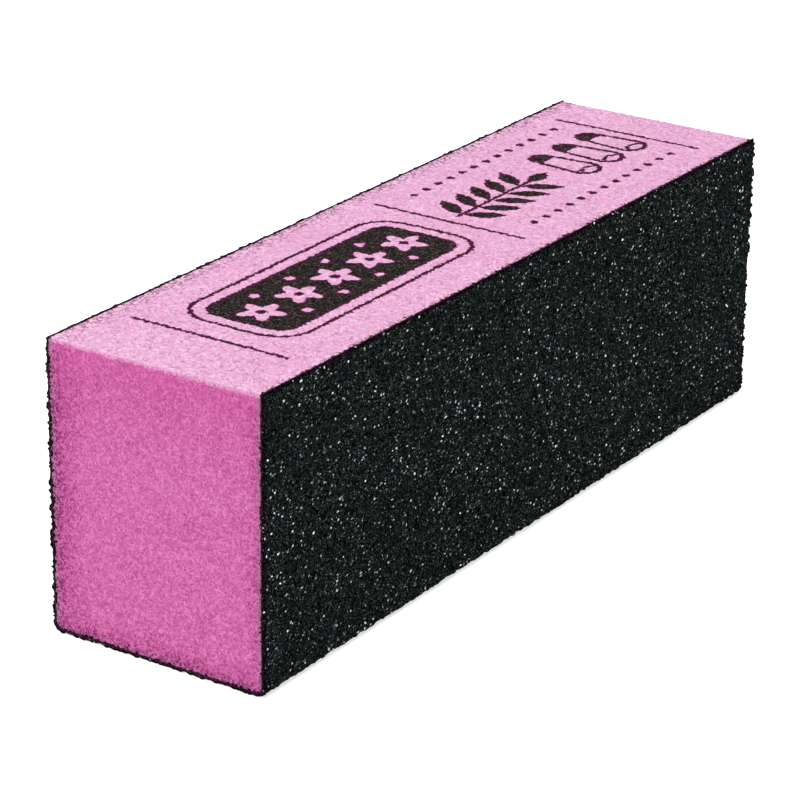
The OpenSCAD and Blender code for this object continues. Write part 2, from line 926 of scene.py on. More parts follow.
class FinishSheet(NodeSheet):
    """The nodes of a material."""

    def __init__(self, name: str) -> None:
        """Starts an empty material.

        Args:
            name: its name.
        """
        self.material = bpy.data.materials.new(name)
        self.material.use_nodes = True
        super().__init__(self.material.node_tree)

    def surface(
        self,
        colour: Tint,
        roughness: Value,
        normal: NodeSocket,
        gloss: float,
        metal: Value = 0.0,
        glow: Value = 0.0,
    ) -> Material:
        """Closes the sheet with a shader.

        Args:
            colour: base colour.
            roughness: from 0, polished, to 1, matt.
            normal: the bent normal.
            gloss: specular level, 0.5 for an ordinary plastic.
            metal: 1 where the surface is a mirror-like flake.
            glow: strength of its own white light.

        Returns:
            The material.
        """
        shader = self.add("ShaderNodeBsdfPrincipled")
        self.feed(shader.inputs["Base Color"], colour)
        self.feed(shader.inputs["Roughness"], roughness)
        self.feed(shader.inputs["Metallic"], metal)
        self.feed(shader.inputs["Normal"], normal)
        self.feed(shader.inputs["Specular IOR Level"], gloss)
        self.feed(shader.inputs["Emission Strength"], glow)
        output = self.add("ShaderNodeOutputMaterial")
        self.feed(output.inputs["Surface"], shader.outputs[0])
        return self.material


# ---------------------------------------------------------------- the cut foam


@dataclass(frozen=True)
class Seep:
    """How the resin of one coat shows in the foam beside it.

    Args:
        reach: how far it darkens the cells.
        plum: how strongly it darkens them at most.
        bloom: how strongly the torn walls next to it go pale and grey.
        black: how far the foam is soaked black all through.
        haze: how strongly a faint shade goes on beyond that, to three times the reach.
    """

    reach: float
    plum: float
    bloom: float
    black: float
    haze: float


@dataclass(frozen=True)
class CutFoam:
    """Vivid pink open-cell foam as the blade left it, stained where the resin soaks in.

    Args:
        strand: colour of a torn cell wall that catches the light.
        body: colour of the foam.
        hollow: colour inside a cut cell, a painted shade.
        upper_shade: what dims the colour towards the skin, a painted shade over the upper part of the
            cut ends.
        soaked: colour of the hollows beside the coat.
        bloom: colour of the walls beside the coat.
        resin: colour where the resin fills the foam.
        skin: colour that the foam takes on just under the skin.
        cell: size of a cell.
        cloud: size of the patches in which the foam is lighter or darker.
        drift: how far cells stray from their places.
        drift_length: distance over which they stray another way.
        upper_shade_reach: how far down from the skin the painted shade goes.
        clear_reach: how far down from the skin the haze is still faint.
        wander: how far the stain's edge comes and goes, slowly and in nicks.
        nick: distance between those nicks.
        bloom_reach: how far from the coat the walls go pale.
        relief: how far the walls stand out.
        left: stain of the left coat, which was put on wettest.
        right: stain of the right coat.
        below: stain of the coat underneath.
    """

    strand: Colour = (0.90, 0.285, 0.605)
    body: Colour = (0.705, 0.153, 0.440)
    hollow: Colour = (0.40, 0.056, 0.225)
    upper_shade: Colour = (0.96, 0.79, 0.90)
    soaked: Colour = (0.13, 0.016, 0.075)
    bloom: Colour = (0.46, 0.26, 0.38)
    resin: Colour = (0.012, 0.003, 0.008)
    skin: Colour = (0.86, 0.44, 0.66)
    cell: float = 0.50 * MM
    cloud: float = 2.6 * MM
    drift: float = 0.30 * MM
    drift_length: float = 1.2 * MM
    upper_shade_reach: float = 12 * MM
    clear_reach: float = 6 * MM
    wander: float = 1.3 * MM
    nick: float = 0.42 * MM
    bloom_reach: float = 0.65 * MM
    relief: float = 0.10 * MM
    left: Seep = Seep(1.6 * MM, 0.80, 0.50, 0.16 * MM, 0.52)
    right: Seep = Seep(0.8 * MM, 0.45, 0.60, 0.04 * MM, 0.30)
    below: Seep = Seep(1.1 * MM, 0.80, 0.25, 0.06 * MM, 0.40)

    def material(self) -> Material:
        """Draws up the material.

        Returns:
            The material.
        """
        sheet = FinishSheet("cut_foam")
        place = sheet.warped(self.drift_length, self.drift)
        walls = sheet.strands(self.cell, 0.11, place, 0.5)
        threads = sheet.strands(0.62 * self.cell, 0.13, place, 0.4)
        fine = sheet.noise(0.45 * self.cell, 1.0)
        cloud = sheet.noise(self.cloud, 3.0, 0.6)
        raised = sheet.sum_of((walls, 0.36), (threads, 0.30), (fine, 0.44))
        _, _, z = sheet.axes(sheet.place)
        under_skin = sheet.less(Span.of("foam_core").high.z, z)
        haze, plum, bloom, black = self.seeped(sheet, cloud)
        haze = sheet.times(haze, sheet.step(under_skin, 0.0, self.clear_reach, 0.3, 1.0))
        shade = sheet.sum_of((raised, 1.0), (cloud, 0.22), (haze, -0.55))
        # Painted shade in the cut cells' hollows and painted highlight on the torn walls, by the same
        # pattern that bends the normal.
        colour = sheet.mix(sheet.step(shade, 0.12, 0.50), self.hollow, self.body)
        colour = sheet.mix(sheet.step(shade, 0.46, 1.02), colour, self.strand)
        # Painted shade: the cut ends are dimmed towards the skin.
        upper_shade_share = sheet.step(under_skin, self.upper_shade_reach, 0.0)
        colour = sheet.mix(upper_shade_share, colour, self.upper_shade, Blend.DIM)
        colour = sheet.mix(bloom, colour, self.bloom)
        hollows = sheet.times(plum, sheet.step(raised, 0.66, 0.20))
        colour = sheet.mix(hollows, colour, self.soaked)
        colour = sheet.mix(black, colour, self.resin)
        to_skin = sheet.sum_of((under_skin, 1.0), (sheet.swing(fine), 0.9 * MM))
        colour = sheet.mix(sheet.step(to_skin, 0.35 * MM, -0.1 * MM), colour, self.skin)
        return sheet.surface(colour, 0.95, sheet.bump(raised, self.relief), gloss=0.05)

    def seeped(self, sheet: NodeSheet, cloud: NodeSocket) -> tuple[NodeSocket, ...]:
        """How far the resin of the coats has come at each point of the foam.

        Args:
            sheet: the material being drawn up.
            cloud: a slow pattern, from 0 to 1, that it drifts with.

        Returns:
            The strengths of the haze, the plum, the bloom and the black.
        """
        x, _, z = sheet.axes(sheet.place)
        foam = Span.of("foam_core")
        slowly = sheet.times(sheet.swing(cloud), self.wander)
        in_nicks = sheet.times(sheet.swing(sheet.noise(self.nick, 1.0)), self.wander)
        haze, plum, bloom, black = 0.0, 0.0, 0.0, 0.0
        for seep, from_coat in (
            (self.left, sheet.less(x, foam.low.x)),
            (self.right, sheet.less(foam.high.x, x)),
            (self.below, sheet.less(z, foam.low.z)),
        ):
            edge = sheet.less(from_coat, seep.black)
            haze = sheet.most(haze, sheet.step(edge, 3 * seep.reach, 0.0, 0.0, seep.haze))
            drifting = sheet.plus(edge, slowly)
            depth = sheet.step(drifting, seep.reach, 0.1 * seep.reach, 0.0, seep.plum)
            plum = sheet.most(plum, depth)
            nicked = sheet.plus(edge, in_nicks)
            pale = sheet.step(nicked, self.bloom_reach, 0.10 * MM, 0.0, seep.bloom)
            bloom = sheet.most(bloom, pale)
            black = sheet.most(black, sheet.step(nicked, 0.06 * MM, -0.10 * MM))
        return haze, plum, bloom, black


# ---------------------------------------------------------------- the print, in millimetres


class Stencil:
    """Shapes of a print as signed distances in millimetres, negative inside the ink."""

    def __init__(self, sheet: NodeSheet, along: Value, up: Value) -> None:
        """Sets the stencil's coordinates.

        Args:
            sheet: the material being drawn up.
            along: reading direction, in millimetres.
            up: across it, in millimetres.
        """
        self.sheet = sheet
        self.along = along
        self.up = up

    @cached_property
    def point(self) -> NodeSocket:
        """The coordinates as one vector, in millimetres."""
        node = self.sheet.add("ShaderNodeCombineXYZ")
        self.sheet.feed(node.inputs["X"], self.along)
        self.sheet.feed(node.inputs["Y"], self.up)
        return node.outputs[0]

    def moved(self, along: float, up: float) -> "Stencil":
        """A stencil with its origin moved to a point."""
        sheet = self.sheet
        return Stencil(sheet, sheet.less(self.along, along), sheet.less(self.up, up))

    def mirrored(self) -> "Stencil":
        """A stencil whose shapes come on both sides of the reading line."""
        return Stencil(self.sheet, self.along, self.sheet.size_of(self.up))

    def repeated(self, first: float, pitch: float, count: int) -> "Stencil":
        """A stencil that comes back several times along the reading direction.

        Args:
            first: place of the first one's middle.
            pitch: distance between middles.
            count: number of repeats.

        Returns:
            A stencil with its origin at the nearest middle.
        """
        sheet = self.sheet
        from_first = sheet.less(self.along, first)
        turn = sheet.math("ROUND", sheet.math("DIVIDE", from_first, pitch))
        turn = sheet.most(sheet.least(turn, count - 1.0), 0.0)
        return Stencil(sheet, sheet.less(from_first, sheet.times(turn, pitch)), self.up)

    def centred_row(self, pitch: float, count: int) -> "Stencil":
        """A stencil repeated in a row with its middle at the origin."""
        return self.repeated(-pitch * (count - 1) / 2, pitch, count)

    def reach(self, along: Value, up: Value) -> NodeSocket:
        """Length of the slope over two sides."""
        square = [self.sheet.math("POWER", side, 2.0) for side in (along, up)]
        return self.sheet.math("SQRT", self.sheet.plus(*square))

    def panel(self, half_along: float, half_up: float, corner: float) -> NodeSocket:
        """A filled rectangle about the origin.

        Args:
            half_along: half its length.
            half_up: half its width.
            corner: radius of its corners.

        Returns:
            The distance.
        """
        sheet = self.sheet
        along = sheet.less(sheet.size_of(self.along), half_along - corner)
        up = sheet.less(sheet.size_of(self.up), half_up - corner)
        outside = self.reach(sheet.most(along, 0.0), sheet.most(up, 0.0))
        inside = sheet.least(sheet.most(along, up), 0.0)
        return sheet.less(sheet.plus(outside, inside), corner)

    def disc(self, radius: float) -> NodeSocket:
        """A filled disc about the origin."""
        return self.sheet.less(self.reach(self.along, self.up), radius)

    def blossom(self, radius: float, petals: int, depth: float) -> NodeSocket:
        """A flower about the origin.

        Args:
            radius: its size, half-way up its petals.
            petals: number of them.
            depth: how far they reach beyond that.

        Returns:
            The distance.
        """
        sheet = self.sheet
        angle = sheet.math("ARCTAN2", self.up, self.along)
        wave = sheet.math("COSINE", sheet.times(angle, float(petals)))
        return sheet.less(self.disc(radius), sheet.times(wave, depth))

    def spine(self, start: FlatPoint, end: FlatPoint) -> tuple[NodeSocket, NodeSocket]:
        """Distance from a straight line, and the share of the line passed at the nearest point.

        Args:
            start: one end of the line.
            end: the other end.

        Returns:
            The distance and the share, from 0 to 1.
        """
        sheet = self.sheet
        run = Vector((*end, 0)) - Vector((*start, 0))
        from_start = sheet.vector("SUBTRACT", self.point, (*start, 0.0))
        passed = sheet.vector("DOT_PRODUCT", from_start, tuple(run))
        share = sheet.math("DIVIDE", passed, run.length_squared)
        share = sheet.most(sheet.least(share, 1.0), 0.0)
        return sheet.vector("DISTANCE", from_start, sheet.scaled(tuple(run), share)), share

    def stroke(
        self, start: FlatPoint, end: FlatPoint, radius: float, end_radius: float
    ) -> NodeSocket:
        """A straight stroke with round ends.

        Args:
            start: one end of its centre line.
            end: the other end.
            radius: half its width.
            end_radius: half its width at the other end.

        Returns:
            The distance.
        """
        off, share = self.spine(start, end)
        return self.sheet.sum_of((off, 1.0), (share, radius - end_radius), (1.0, -radius))

    def leaf(self, start: FlatPoint, end: FlatPoint, width: float) -> NodeSocket:
        """A leaf that is pointed at both ends.

        Args:
            start: its foot.
            end: its tip.
            width: its width at the middle.

        Returns:
            The distance.
        """
        off, share = self.spine(start, end)
        swell = self.sheet.times(share, self.sheet.less(1.0, share))
        return self.sheet.sum_of((off, 1.0), (swell, -2 * width))

    def outline(self, shape: NodeSocket, width: float) -> NodeSocket:
        """The edge of a shape, drawn with a pen of a width."""
        return self.sheet.less(self.sheet.size_of(shape), width / 2)

    def joined(self, *shapes: NodeSocket) -> NodeSocket:
        """Ink wherever any of the shapes has it.

        Args:
            shapes: the shapes.

        Returns:
            The distance.
        """
        made = shapes[0]
        for shape in shapes[1:]:
            made = self.sheet.least(made, shape)
        return made

    def within(self, shape: NodeSocket, limit: NodeSocket) -> NodeSocket:
        """The part of a shape that lies inside another."""
        return self.sheet.most(shape, limit)

    def without(self, shape: NodeSocket, hole: NodeSocket) -> NodeSocket:
        """A shape with another knocked out of it."""
        return self.sheet.most(shape, self.sheet.times(hole, -1.0))


class Motif(ABC):
    """One part of the print, in millimetres from the middle of the face."""

    @abstractmethod
    def ink(self, face: Stencil) -> NodeSocket:
        """Signed distance to the motif's edge on the face's stencil."""


@dataclass(frozen=True)
class CrossRules(Motif):
    """Thin lines across the face.

    Args:
        pen: width of the lines.
        places: where they lie along the block.
        half: half their length.
    """

    pen: float = PEN
    places: tuple[float, ...] = (-38.5, 3.2, 40.5)
    half: float = 9.4

    def ink(self, face: Stencil) -> NodeSocket:
        """Draws the rules, with ends that are a little rounded.

        Args:
            face: the face's stencil.

        Returns:
            The distance.
        """
        rules = [face.moved(place, 0.0) for place in self.places]
        return face.joined(*[rule.panel(self.pen / 2, self.half, self.pen / 4) for rule in rules])


@dataclass(frozen=True)
class BlossomPanel(Motif):
    """A dark panel with a row of blossoms knocked out of it, in a thin frame.

    Args:
        pen: width of the frame.
        place: middle of the panel along the block.
        half: half its length and half its width.
        corner: radius of its corners.
        gap: distance from the panel to the frame.
        count: number of blossoms.
        pitch: distance between them.
        radius: size of a blossom, half-way up its petals.
        petals: number of its petals.
        petal_depth: how far they reach beyond that.
        eye: radius of the blossom's dark eye.
        pip: radius of the pips between blossoms.
        pip_out: how far they lie to either side of the middle.
    """

    pen: float = PEN
    place: float = -17.6
    half: FlatPoint = (16.0, 5.4)
    corner: float = 2.4
    gap: float = 1.5
    count: int = 5
    pitch: float = 6.2
    radius: float = 1.9
    petals: int = 5
    petal_depth: float = 0.6
    eye: float = 0.55
    pip: float = 0.5
    pip_out: float = 3.3

    def ink(self, face: Stencil) -> NodeSocket:
        """Draws the panel and its frame.

        Args:
            face: the face's stencil.

        Returns:
            The distance.
        """
        middle = face.moved(self.place, 0.0)
        half_along, half_up = self.half
        panel = middle.panel(half_along, half_up, self.corner)
        line = middle.panel(half_along + self.gap, half_up + self.gap, self.corner + self.gap)
        flower = middle.centred_row(self.pitch, self.count)
        petals = flower.blossom(self.radius, self.petals, self.petal_depth)
        petals = flower.without(petals, flower.disc(self.eye))
        between = middle.centred_row(self.pitch, self.count - 1)
        pips = between.mirrored().moved(0.0, self.pip_out).disc(self.pip)
        panel = middle.without(panel, middle.joined(petals, pips))
        return middle.joined(panel, middle.outline(line, self.pen))


@dataclass(frozen=True)
class LeafySprig(Motif):
    """A stem with slanting leaves in pairs and one leaf at its tip.

    Args:
        pen: width of the stem.
        foot: where the stem begins along the block.
        tip: where it ends.
        first: place of the first pair of leaves, from the foot.
        pairs: number of pairs.
        pitch: distance between them.
        leaf: foot and tip of a leaf, from its pair's place on the stem.
        bud: foot and tip of the last leaf, from the stem's tip.
        width: width of a leaf at its middle.
    """

    pen: float = PEN
    foot: float = 5.2
    tip: float = 20.2
    first: float = 2.0
    pairs: int = 5
    pitch: float = 2.9
    leaf: tuple[FlatPoint, FlatPoint] = ((-1.35, 0.1), (1.30, 4.2))
    bud: tuple[float, float] = (-1.0, 3.0)
    width: float = 1.9

    def ink(self, face: Stencil) -> NodeSocket:
        """Draws the sprig.

        Args:
            face: the face's stencil.

        Returns:
            The distance.
        """
        stem = face.stroke((self.foot, 0.0), (self.tip, 0.0), self.pen / 2, self.pen / 2)
        bud_foot, bud_tip = [(self.tip + place, 0.0) for place in self.bud]
        bud = face.leaf(bud_foot, bud_tip, self.width)
        pair = face.repeated(self.foot + self.first, self.pitch, self.pairs).mirrored()
        return face.joined(stem, bud, pair.leaf(*self.leaf, self.width))


@dataclass(frozen=True)
class NailRow(Motif):
    """Fingernails side by side, each with a dark tip and a drawn moon.

    Args:
        pen: width of the moons.
        first: middle of the first nail along the block.
        count: number of nails.
        pitch: distance between them.
        border: width of a nail's outline.
        ends: middles of its round tip and round root, across the block.
        radii: their radii.
        smile: middle and radius of the disc that bounds the dark tip.
        moon: middle and radius of the disc that the moon is drawn from.
    """

    pen: float = PEN
    first: float = 27.0
    count: int = 3
    pitch: float = 5.0
    border: float = 0.65
    ends: tuple[float, float] = (-2.3, 2.9)
    radii: tuple[float, float] = (1.85, 1.35)
    smile: tuple[float, float] = (-2.0, 4.2)
    moon: tuple[float, float] = (-4.1, 1.7)

    def ink(self, face: Stencil) -> NodeSocket:
        """Draws the nails.

        Args:
            face: the face's stencil.

        Returns:
            The distance.
        """
        nail = face.repeated(self.first, self.pitch, self.count)
        tip_end, root_end = [(0.0, up) for up in self.ends]
        plate = nail.stroke(tip_end, root_end, *self.radii)
        smile, moon = [nail.moved(0.0, up).disc(radius) for up, radius in (self.smile, self.moon)]
        moon = nail.within(nail.outline(moon, self.pen), plate)
        tip = nail.without(plate, smile)
        return nail.joined(nail.outline(plate, self.border), tip, moon)


@dataclass(frozen=True)
class DottedLines(Motif):
    """A row of dots on either side of the sprig and the nails.

    Args:
        first: middle of the first dots along the block.
        count: number of dots in a row.
        pitch: distance between them.
        out: how far the rows lie from the middle.
        radius: radius of a dot.
    """

    first: float = 8.2
    count: int = 13
    pitch: float = 2.4
    out: float = 7.6
    radius: float = 0.5

    def ink(self, face: Stencil) -> NodeSocket:
        """Draws both rows.

        Args:
            face: the face's stencil.

        Returns:
            The distance.
        """
        row = face.mirrored().moved(0.0, self.out)
        return row.repeated(self.first, self.pitch, self.count).disc(self.radius)


# ---------------------------------------------------------------- the printed skin


@dataclass(frozen=True)
class Lap:
    """How the resin of one coat laps over the skin beside it.

    Args:
        reach: how far it covers the skin.
        creep: how far it creeps on into the pits.
        shallow: height of the skin's pattern below which it fills the pits.
    """

    reach: float
    creep: float
    shallow: float


@dataclass(frozen=True)
class PrintedSkin:
    """The pale skin of the foam with its one-colour print.

    Args:
        motifs: the design.
        pebble_highlight: colour of the pebbles' tops, a painted highlight.
        body: colour of the skin.
        crease_shade: colour of the creases and pits, a painted shade.
        ink: colour of the ink where it lies thick.
        worn: colour of the ink where it lies thin.
        stain: colour of the ink and the resin at their edges, where foam shows through.
        rim: colour along the sides, where the resin laps over.
        ink_glint: colour of the few light spots in the ink, painted glints of light off its pebbled
            surface.
        edge: colour of the skin's cut edge.
        pebble: size of a pebble.
        drift: how far pebbles stray from their places.
        drift_length: distance over which they stray another way.
        blot: how far the ink's edge comes and goes, in millimetres.
        relief: how far the pebbles stand out.
        soft_rim: width of the steps in which a lap of resin ends.
        fringe: how strongly the resin shows in the pits.
        left: lap of the left coat.
        right: lap of the right coat.
    """

    motifs: tuple[Motif, ...] = (
        CrossRules(), BlossomPanel(), LeafySprig(), NailRow(), DottedLines()
    )
    pebble_highlight: Colour = (1.0, 0.66, 0.88)
    body: Colour = (0.935, 0.445, 0.725)
    crease_shade: Colour = (0.67, 0.255, 0.48)
    ink: Colour = (0.0080, 0.0055, 0.0060)
    worn: Colour = (0.060, 0.050, 0.044)
    stain: Colour = (0.10, 0.010, 0.050)
    rim: Colour = (0.022, 0.004, 0.016)
    ink_glint: Colour = (0.19, 0.165, 0.135)
    edge: Colour = (0.84, 0.40, 0.64)
    pebble: float = 0.62 * MM
    drift: float = 0.25 * MM
    drift_length: float = 1.3 * MM
    blot: float = 0.95
    relief: float = 0.25 * MM
    soft_rim: float = 0.08 * MM
    fringe: float = 0.95
    left: Lap = Lap(0.07 * MM, 2.5 * MM, 0.51)
    right: Lap = Lap(0.10 * MM, 0.8 * MM, 0.48)

    def material(self) -> Material:
        """Draws up the material.

        Returns:
            The material.
        """
        sheet = FinishSheet("printed_skin")
        place = sheet.warped(self.drift_length, self.drift)
        ridges = sheet.strands(self.pebble, 0.13, place, 0.4)
        fine = sheet.noise(0.5 * self.pebble, 1.5, 0.6)
        cloud = sheet.noise(7 * MM, 2.0)
        scratches = sheet.strands(0.6 * self.pebble, 0.05, place, 0.6)
        broken = sheet.step(sheet.noise(0.8 * self.pebble), 0.52, 0.62)
        pits = sheet.times(scratches, broken)
        height = sheet.sum_of((ridges, 0.30), (fine, 0.70), (pits, -0.36))
        shade = sheet.sum_of((height, 1.0), (cloud, 0.2))
        # Painted shade in the creases and pits and painted highlight on the pebbles, by the same
        # height that bends the normal.
        colour = sheet.mix(sheet.step(shade, 0.06, 0.46), self.crease_shade, self.body)
        colour = sheet.mix(sheet.step(shade, 0.46, 0.86), colour, self.pebble_highlight)
        _, _, z = sheet.axes(sheet.place)
        down = sheet.less(Span.of("top_skin").high.z, z)
        down = sheet.sum_of((down, 1.0), (sheet.swing(fine), 0.25 * MM))
        colour = sheet.mix(sheet.step(down, 0.10 * MM, 0.20 * MM), colour, self.edge)
        colour = self.printed(sheet, colour, height)
        colour = self.rimmed(sheet, colour, height)
        return sheet.surface(colour, 0.85, sheet.bump(height, self.relief), gloss=0.02)

    def rimmed(self, sheet: NodeSheet, colour: NodeSocket, height: NodeSocket) -> NodeSocket:
        """Laps resin over the long sides of the skin, further on the left.

        Args:
            sheet: the material being drawn up.
            colour: the skin's colour.
            height: the skin's fine pattern, whose low parts it creeps into.

        Returns:
            The colour with its rims.
        """
        x, _, _ = sheet.axes(sheet.place)
        skin = Span.of("top_skin")
        nicks = sheet.swing(sheet.noise(0.5 * MM, 1.0))
        soft = self.soft_rim
        for lap, to_side in (
            (self.left, sheet.less(x, skin.low.x)),
            (self.right, sheet.less(skin.high.x, x)),
        ):
            near = sheet.step(to_side, lap.creep, 0.1 * lap.creep)
            filled = sheet.times(near, sheet.step(height, lap.shallow, 0.20))
            colour = sheet.mix(sheet.times(filled, self.fringe), colour, self.stain)
            wavy = sheet.sum_of((to_side, 1.0), (nicks, 0.9 * MM), (height, 0.25 * MM))
            stained = sheet.step(wavy, lap.reach + 3 * soft, lap.reach + soft)
            colour = sheet.mix(stained, colour, self.stain)
            covered = sheet.step(wavy, lap.reach + 2 * soft, lap.reach)
            colour = sheet.mix(covered, colour, self.rim)
        return colour

    def printed(self, sheet: NodeSheet, colour: NodeSocket, height: NodeSocket) -> NodeSocket:
        """Lays the ink on the skin.

        Args:
            sheet: the material being drawn up.
            colour: the bare skin's colour.
            height: the skin's fine pattern, which the ink misses where it is low.

        Returns:
            The colour with its print.
        """
        x, y, _ = sheet.axes(sheet.place)
        face = Stencil(sheet, sheet.times(y, 1 / MM), sheet.times(x, -1 / MM))
        design = face.joined(*[motif.ink(face) for motif in self.motifs])
        uneven = sheet.swing(sheet.noise(0.45 * MM, 2.0, 0.6))
        to_edge = sheet.sum_of((design, 1.0), (uneven, self.blot))
        taken = sheet.step(height, -0.08, 0.10)
        covered = sheet.times(sheet.step(to_edge, 0.05, -0.07), taken)
        thin = sheet.step(sheet.noise(0.20 * MM, 1.0), 0.44, 0.66)
        ink = sheet.mix(thin, self.ink, self.worn)
        # Painted glints: a few cells of the ink are lightened as if they caught the light.
        grains = sheet.cells(0.26 * MM, sheet.place, Measure.FROM_MIDDLE)
        glinting = sheet.step(sheet.axes(grains.outputs["Color"])[0], 0.72, 1.0)
        glints = sheet.times(glinting, sheet.step(grains.outputs["Distance"], 0.6, 0.2))
        ink = sheet.mix(glints, ink, self.ink_glint)
        ink = sheet.mix(sheet.step(to_edge, -0.14, -0.50), self.stain, ink)
        return sheet.mix(covered, colour, ink)


# ---------------------------------------------------------------- the grit and the resin


@dataclass(frozen=True)
class Grit:
    """Black silicon carbide grains in resin, with a few bright facets.

    Args:
        bare: colour that the grains darken to in the deepest gaps, where shade is painted.
        tint: hue of most grains.
        warm: hue of the patches where brown resin shows between them.
        stained: hue of the cut edges, where the foam's dye has soaked in.
        level: how bright an ordinary grain is.
        contrast: how much brighter or darker its neighbours are, as a power of e.
        pale: colour of a grain that catches the light.
        spark: colour of a facet that mirrors it.
        grain: size of a grain.
        dust: size of the smallest grains.
        tone: distance between lighter and darker places on the grains.
        gap: size of the clusters that the gaps run round, which are painted dark as shade.
        ridge: distance between the ridges of resin, which are painted lighter as a highlight.
        patch: size of the patches in which the coat is lighter or darker.
        drift: how far grains stray from their places.
        drift_length: distance over which they stray another way.
        slant_deg: direction in which the grains lie longish, from the block's length.
        stretch: how much longer than wide they are.
        pale_share: from which share of the small grains on a grain is pale.
        spark_share: from which share of the grains on a grain is a spark.
        edge_reach: how far in from the edges the grains are broken off.
        relief: how far the grains stand out.
    """

    bare: Colour = (0.0, 0.0, 0.0)
    tint: Colour = (0.78, 1.0, 1.0)
    warm: Colour = (0.86, 0.98, 0.94)
    stained: Colour = (1.0, 0.48, 0.82)
    level: float = 0.0195
    contrast: float = 8.4
    pale: Colour = (0.41, 0.52, 0.53)
    spark: Colour = (0.86, 0.95, 0.97)
    grain: float = 0.20 * MM
    dust: float = 0.135 * MM
    tone: float = 0.20 * MM
    gap: float = 0.33 * MM
    ridge: float = 0.40 * MM
    patch: float = 4 * MM
    drift: float = 0.18 * MM
    drift_length: float = 0.7 * MM
    slant_deg: float = 35.0
    stretch: float = 1.5
    pale_share: float = 0.966
    spark_share: float = 0.963
    edge_reach: float = 0.50 * MM
    relief: float = 0.12 * MM

    def material(self) -> Material:
        """Draws up the material.

        Returns:
            The material.
        """
        sheet = FinishSheet("black_grit")
        place = sheet.warped(self.drift_length, self.drift)
        slant = sheet.slanted(place, self.slant_deg, self.stretch)
        tone = sheet.noise(self.tone, 2.0, 0.65, place, 0.4)
        gaps = sheet.cells(self.gap, place, Measure.FROM_WALL).outputs["Distance"]
        solid = sheet.step(gaps, 0.02, 0.12)
        patch = sheet.swing(sheet.noise(self.patch, 3.0, 0.6))
        at_edges = self.at_edges(sheet)
        power = self.brightness(sheet, place, tone, solid, patch, at_edges)
        share = sheet.times(sheet.math("EXPONENT", power), self.level)
        rusty = sheet.step(sheet.noise(2.5 * MM, 2.0), 0.45, 0.70)
        hue = sheet.mix(rusty, self.tint, self.warm)
        hue = sheet.mix(at_edges, hue, self.stained)
        colour = sheet.mix(share, self.bare, hue)
        luck = sheet.sum_of((patch, 0.08), (at_edges, -0.02))
        small = sheet.cells(self.dust, slant, Measure.FROM_MIDDLE)
        colour = sheet.mix(self.picked(sheet, small, luck, self.pale_share), colour, self.pale)
        grains = sheet.cells(self.grain, slant, Measure.FROM_MIDDLE)
        spark = self.picked(sheet, grains, luck, self.spark_share)
        colour = sheet.mix(spark, colour, self.spark)
        lean = sheet.vector("SUBTRACT", grains.outputs["Color"], (0.5, 0.5, 0.5))
        from_middle = sheet.vector("SUBTRACT", slant, grains.outputs["Position"])
        slope = sheet.math("DIVIDE", sheet.vector("DOT_PRODUCT", lean, from_middle), self.grain)
        height = sheet.sum_of((slope, 1.2), (solid, 0.4), (tone, 0.8))
        normal = sheet.bump(height, self.relief)
        rough = sheet.less(0.85, sheet.times(spark, 0.4))
        return sheet.surface(colour, rough, normal, gloss=0.004, metal=spark)

    def brightness(
        self,
        sheet: NodeSheet,
        place: NodeSocket,
        tone: NodeSocket,
        solid: NodeSocket,
        patch: NodeSocket,
        at_edges: NodeSocket,
    ) -> NodeSocket:
        """How much brighter or darker than an ordinary grain each point is, with painted shade in the
        gaps and deep places and painted highlights on the ridges.

        Args:
            sheet: the material being drawn up.
            place: coordinates.
            tone: lighter and darker places, from 0 to 1.
            solid: 0 in the gaps between clusters and 1 on them.
            patch: large patches, about 0.
            at_edges: 1 along the edges and 0 away from them.

        Returns:
            The power of e by which it differs.
        """
        ridge = sheet.strands(self.ridge, 0.07, place, 0.8)
        return sheet.sum_of(
            (sheet.swing(tone), self.contrast),
            # Painted shade: the gaps between clusters and the deeper places of the mesh's relief are
            # darkened.
            (sheet.less(solid, 0.85), 3.2),
            (sheet.less(0.35, sheet.attribute(DEPTH)), 0.9),
            # Painted highlight: the ridges of resin are lightened.
            (sheet.less(ridge, 0.3), 0.8),
            (patch, 0.25),
            (at_edges, -0.45),
        )

    def at_edges(self, sheet: NodeSheet) -> NodeSocket:
        """1 along the cut ends and the top edges, where the grains are broken off.

        Args:
            sheet: the material being drawn up.

        Returns:
            The share, 0 away from the edges.
        """
        _, y, z = sheet.axes(sheet.place)
        to_end = sheet.less(Span.of("foam_core").high.y, sheet.size_of(y))
        to_top = sheet.less(Span.of("right_grit").high.z, z)
        return sheet.step(sheet.least(to_end, to_top), self.edge_reach, 0.08 * MM)

    def picked(
        self, sheet: NodeSheet, cells: Node, luck: NodeSocket, from_share: float
    ) -> NodeSocket:
        """Picks out a few grains.

        Args:
            sheet: the material being drawn up.
            cells: the grains.
            luck: what is added to each grain's chance.
            from_share: the share of grains that are passed over.

        Returns:
            The strength of the pick, from 0 to 1.
        """
        chance, strength, _ = sheet.axes(cells.outputs["Color"])
        chosen = sheet.math("GREATER_THAN", sheet.plus(chance, luck), from_share)
        body = sheet.step(cells.outputs["Distance"], 0.60, 0.38)
        bright = sheet.step(strength, 0.0, 1.0, 0.3, 1.0)
        return sheet.times(sheet.times(chosen, body), bright)


